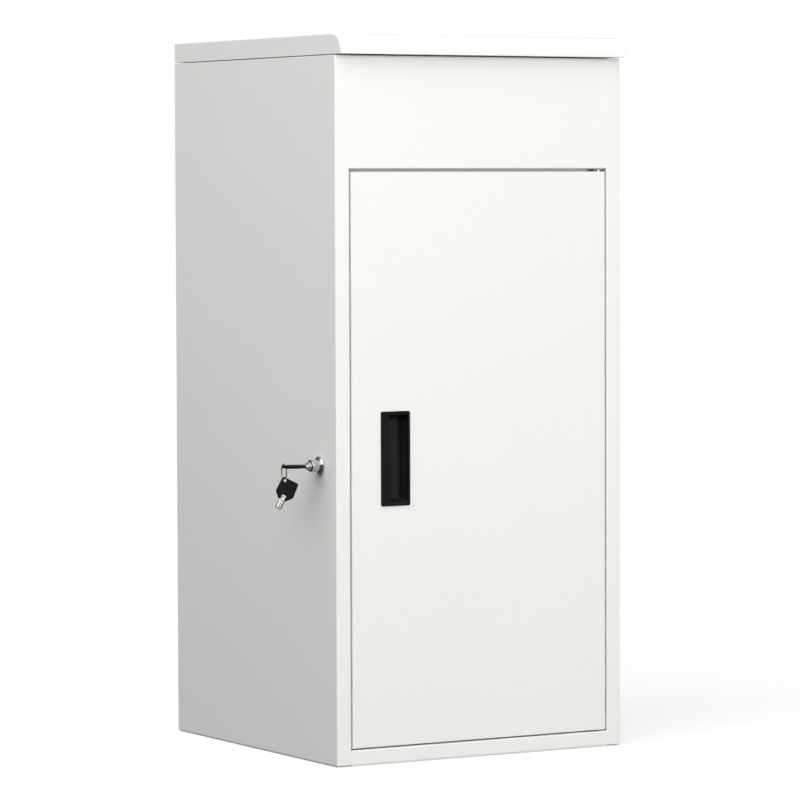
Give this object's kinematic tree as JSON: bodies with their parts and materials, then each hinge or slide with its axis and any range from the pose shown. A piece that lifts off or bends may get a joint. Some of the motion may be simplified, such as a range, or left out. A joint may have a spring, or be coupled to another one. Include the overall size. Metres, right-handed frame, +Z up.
{
  "type": "parcel drop box",
  "caption": "Steel parcel cabinet with a top lid that works an anti-theft tray, a front door with a recessed pull, a side cam lock and hanging keys.",
  "frame": {"origin": "on the floor, under the middle of the cabinet's base", "axes": "+X to the right seen from the front, +Y to the back, +Z up; the door faces -Y"},
  "size_m": [0.523, 0.4968, 1],
  "materials": {
    "powder_white": "fine satin powder coat",
    "zinc_steel": "zinc plated",
    "chrome": "polished",
    "nickel": "nickel plated, lightly worn",
    "black_plastic": "satin moulded",
    "grey_nylon": "plain moulded",
    "rubber": "matt"
  },
  "bodies": {
    "cabinet": {"left_side_panel": "powder_white", "right_side_panel": "powder_white", "rim_angle_left": "powder_white", "rim_angle_right": "powder_white", "back_panel": "powder_white", "base_pan": "powder_white", "sill_rail": "powder_white", "upper_front_panel": "powder_white", "lid_hinge_body_leaf": "powder_white", "lid_hinge_pin": "zinc_steel", "lid_bumper_front_left": "rubber", "lid_bumper_front_right": "rubber", "lid_bumper_rear_left": "rubber", "lid_bumper_rear_right": "rubber", "tray_bracket_left": "zinc_steel", "tray_bracket_right": "zinc_steel", "tray_bush_left": "grey_nylon", "tray_bush_right": "grey_nylon", "door_bush_upper": "grey_nylon", "door_bush_lower": "grey_nylon", "door_buffer_upper": "rubber", "door_buffer_lower": "rubber", "lock_housing": "chrome", "lock_escutcheon": "chrome", "lock_nut": "zinc_steel"},
    "lid": {"lid_shell": "powder_white", "lid_stiffener_front": "powder_white", "lid_stiffener_rear": "powder_white", "lid_hinge_lid_leaf": "powder_white", "lid_crank_left": "zinc_steel", "lid_crank_right": "zinc_steel", "lid_crank_pin_left": "zinc_steel", "lid_crank_pin_right": "zinc_steel"},
    "link_left": {"link_left": "zinc_steel"},
    "link_right": {"link_right": "zinc_steel"},
    "tray": {"tray_panel": "powder_white", "tray_rod": "zinc_steel", "tray_crank_left": "zinc_steel", "tray_crank_right": "zinc_steel", "tray_crank_pin_left": "zinc_steel", "tray_crank_pin_right": "zinc_steel"},
    "door": {"door_skin": "powder_white", "door_stiffener": "powder_white", "handle_cup": "black_plastic", "door_pivot_upper": "zinc_steel", "door_pivot_lower": "zinc_steel", "door_catch": "zinc_steel"},
    "lock_plug": {"lock_plug": "chrome", "lock_cam": "zinc_steel", "cam_screw": "zinc_steel"},
    "key": {"key_shaft": "nickel", "key_bow": "black_plastic"},
    "key_ring": {"key_ring": "nickel"},
    "spare_key": {"spare_key_shaft": "nickel", "spare_key_bow": "black_plastic"}
  },
  "joints": [
    {"name": "lid_hinge", "type": "hinge", "parent": "cabinet", "child": "lid", "pos_m": [0, 0.24, 0.9713], "axis": [-1, 0, 0], "range_deg": [0, 75]},
    {"name": "tray_pivot", "type": "hinge", "parent": "cabinet", "child": "tray", "pos_m": [0, 0.215, 0.824], "axis": [-1, 0, 0], "range_deg": [0, 75]},
    {"name": "link_left_pivot", "type": "hinge", "parent": "lid", "child": "link_left", "pos_m": [-0.209, 0.175, 0.955], "axis": [-1, 0, 0], "range_deg": [-75, 0]},
    {"name": "link_right_pivot", "type": "hinge", "parent": "lid", "child": "link_right", "pos_m": [0.209, 0.175, 0.955], "axis": [-1, 0, 0], "range_deg": [-75, 0]},
    {"name": "door_hinge", "type": "hinge", "parent": "cabinet", "child": "door", "pos_m": [0.1973, -0.231, 0.42], "axis": [0, 0, 1], "range_deg": [0, 110]},
    {"name": "lock_turn", "type": "hinge", "parent": "cabinet", "child": "lock_plug", "pos_m": [-0.23, -0.193, 0.411], "axis": [-1, 0, 0], "range_deg": [0, 90]},
    {"name": "key_slide", "type": "slide", "parent": "lock_plug", "child": "key", "axis": [-1, 0, 0], "range_m": [0, 0.02]},
    {"name": "key_ring_hang", "type": "hinge", "parent": "key", "child": "key_ring", "pos_m": [-0.28, -0.18125, 0.411], "axis": [-1, 0, 0], "range_deg": [-90, 0]},
    {"name": "spare_key_swing", "type": "hinge", "parent": "key_ring", "child": "spare_key", "pos_m": [-0.28, -0.18125, 0.3936], "axis": [0.165, 0.9863, 0], "range_deg": [-30, 30]}
  ],
  "couplings": [
    {"joint": "tray_pivot", "follows": "lid_hinge", "ratio": 1},
    {"joint": "link_left_pivot", "follows": "lid_hinge", "ratio": -1},
    {"joint": "link_right_pivot", "follows": "lid_hinge", "ratio": -1},
    {"joint": "key_ring_hang", "follows": "lock_turn", "ratio": -1}
  ]
}
